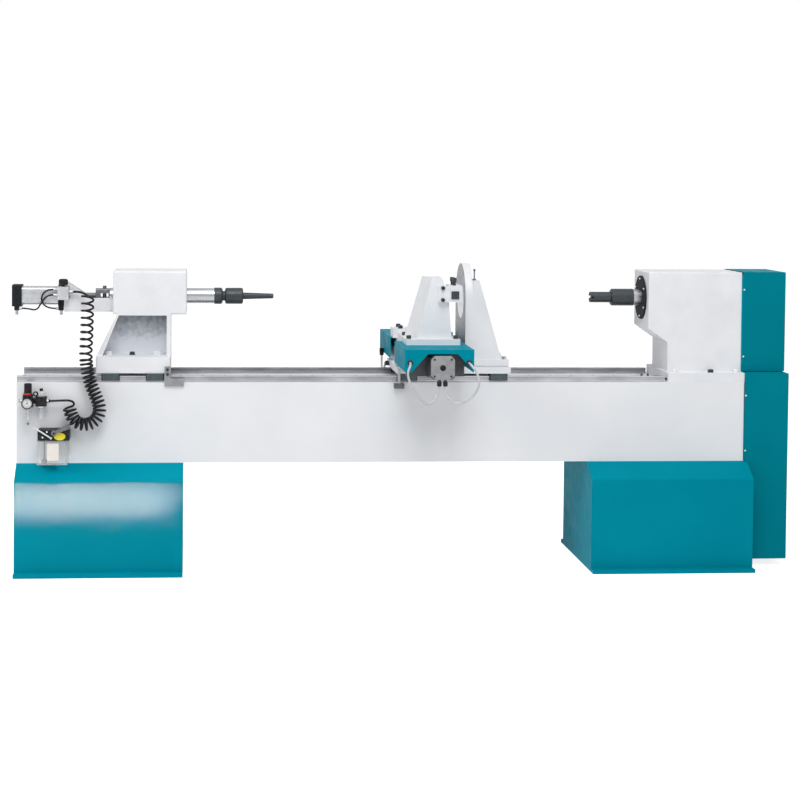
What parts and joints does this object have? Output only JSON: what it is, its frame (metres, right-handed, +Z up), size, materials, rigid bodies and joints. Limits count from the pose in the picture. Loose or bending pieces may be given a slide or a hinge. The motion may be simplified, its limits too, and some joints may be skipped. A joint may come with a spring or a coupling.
{
  "type": "cnc wood lathe",
  "caption": "Floor-standing CNC wood lathe: box bed on plinths, belt-driven headstock, motor-fed carriage with tool tower and steady rest, air-operated tailstock.",
  "frame": {"origin": "on the floor, under the middle of the machine's overall length and depth", "axes": "+X along the bed towards the headstock, +Y away from the side with the air unit, +Z up"},
  "size_m": [2.874, 0.8988, 1.116],
  "materials": {
    "teal_paint": "satin teal enamel",
    "white_paint": "satin white enamel",
    "black_oxide": "black-oxide steel",
    "ground_steel": "ground and polished",
    "aluminium": "anodised",
    "black_plastic": "matte black",
    "motor_paint": "dark grey paint",
    "clear_plastic": "clear polycarbonate",
    "gauge_plastic": "gloss black case, white dial",
    "belt_rubber": "matte",
    "hose_plastic": "smooth polyurethane tube",
    "cable_plastic": "grey sheath"
  },
  "bodies": {
    "frame": {"left_stand": "teal_paint", "right_stand": "teal_paint", "bed": "white_paint", "bed_rails": "ground_steel", "headstock": "white_paint", "bearing_cap": "black_oxide", "shaft_bearings": "ground_steel", "upper_belt_cover": "teal_paint", "lower_belt_cover": "teal_paint", "cover_seal": "belt_rubber", "drive_belt": "belt_rubber", "main_motor": "motor_paint", "carriage_motor": "motor_paint", "air_unit_body": "black_plastic", "air_bowls": "clear_plastic", "pressure_gauge": "gauge_plastic", "pump_head": "black_plastic", "oil_tank": "clear_plastic", "air_hose": "hose_plastic"},
    "spindle": {"spindle_shaft": "ground_steel", "drive_centre": "black_oxide", "spindle_pulley": "aluminium"},
    "motor_rotor": {"motor_pulley": "aluminium"},
    "carriage_screw_body": {"carriage_screw": "ground_steel"},
    "carriage": {"saddle": "white_paint", "carriage_blocks": "ground_steel", "cross_rails": "ground_steel", "cross_motor": "motor_paint", "limit_switch": "black_plastic", "steady_rest": "white_paint", "motor_cable_left": "cable_plastic", "motor_cable_right": "cable_plastic", "cover_conduit": "cable_plastic"},
    "cross_screw_body": {"cross_screw": "ground_steel"},
    "cross_slide": {"cross_plate": "white_paint", "front_cover": "teal_paint", "rear_cover": "teal_paint", "tool_tower": "white_paint", "tool_holder": "white_paint", "tool_bar": "ground_steel", "slide_bolts": "black_oxide"},
    "tailstock": {"tailstock_casting": "white_paint", "tailstock_slab": "white_paint", "tailstock_blocks": "ground_steel", "rail_clamp": "black_oxide", "cylinder_bracket": "white_paint", "cylinder_tube": "aluminium", "cylinder_caps": "aluminium", "valve_body": "aluminium", "valve_fittings": "ground_steel", "cylinder_hose_rear": "hose_plastic", "cylinder_hose_front": "hose_plastic"},
    "quill_body": {"quill": "ground_steel", "quill_collar": "black_oxide", "rod_clevis": "ground_steel"},
    "live_centre_body": {"live_centre": "black_oxide"},
    "valve_knob_body": {"valve_knob": "black_plastic"},
    "regulator_knob_body": {"regulator_knob": "black_plastic"},
    "needle_body": {"gauge_needle": "black_plastic"},
    "pump_lever_body": {"pump_lever": "ground_steel"}
  },
  "joints": [
    {"name": "carriage_slide", "type": "slide", "parent": "frame", "child": "carriage", "axis": [1, 0, 0], "range_m": [-0.4, 0.5]},
    {"name": "carriage_screw_turn", "type": "hinge", "parent": "frame", "child": "carriage_screw_body", "pos_m": [0, 0, 0.634], "axis": [1, 0, 0], "continuous": true},
    {"name": "cross_feed", "type": "slide", "parent": "carriage", "child": "cross_slide", "axis": [0, 1, 0], "range_m": [0, 0.085], "deforming": ["motor_cable_left", "motor_cable_right", "cover_conduit"]},
    {"name": "cross_screw_turn", "type": "hinge", "parent": "carriage", "child": "cross_screw_body", "pos_m": [0.104, 0, 0.767], "axis": [0, 1, 0], "continuous": true},
    {"name": "spindle_turn", "type": "hinge", "parent": "frame", "child": "spindle", "pos_m": [0, 0, 0.99], "axis": [1, 0, 0], "continuous": true},
    {"name": "motor_turn", "type": "hinge", "parent": "frame", "child": "motor_rotor", "pos_m": [0, 0, 0.215], "axis": [1, 0, 0], "continuous": true},
    {"name": "tailstock_slide", "type": "slide", "parent": "frame", "child": "tailstock", "axis": [1, 0, 0], "range_m": [0, 0.2], "deforming": ["air_hose"]},
    {"name": "quill_slide", "type": "slide", "parent": "tailstock", "child": "quill_body", "axis": [1, 0, 0], "range_m": [-0.095, 0]},
    {"name": "live_centre_turn", "type": "hinge", "parent": "quill_body", "child": "live_centre_body", "pos_m": [0, 0, 0.99], "axis": [1, 0, 0], "continuous": true},
    {"name": "valve_push", "type": "slide", "parent": "tailstock", "child": "valve_knob_body", "axis": [0, 0, -1], "range_m": [0, 0.006], "stiffness_N_per_m": 1500, "springref_m": -0.003},
    {"name": "regulator_turn", "type": "hinge", "parent": "frame", "child": "regulator_knob_body", "pos_m": [-1.3635, -0.197, 0.67], "axis": [0, 0, 1], "continuous": true},
    {"name": "gauge_needle_turn", "type": "hinge", "parent": "frame", "child": "needle_body", "pos_m": [-1.3635, -0.2335, 0.618], "axis": [0, 1, 0], "range_deg": [-130, 130], "stiffness_Nm_per_rad": 0.0001},
    {"name": "pump_lever_pull", "type": "hinge", "parent": "frame", "child": "pump_lever_body", "pos_m": [-1.268, -0.237, 0.512], "axis": [0, 1, 0], "range_deg": [0, 35], "stiffness_Nm_per_rad": 0.5, "springref_deg": -11.46}
  ],
  "couplings": [
    {"joint": "carriage_screw_turn", "follows": "carriage_slide", "rad_per_m": 251.33},
    {"joint": "cross_screw_turn", "follows": "cross_feed", "rad_per_m": 628.32},
    {"joint": "motor_turn", "follows": "spindle_turn", "ratio": 1.3636}
  ]
}
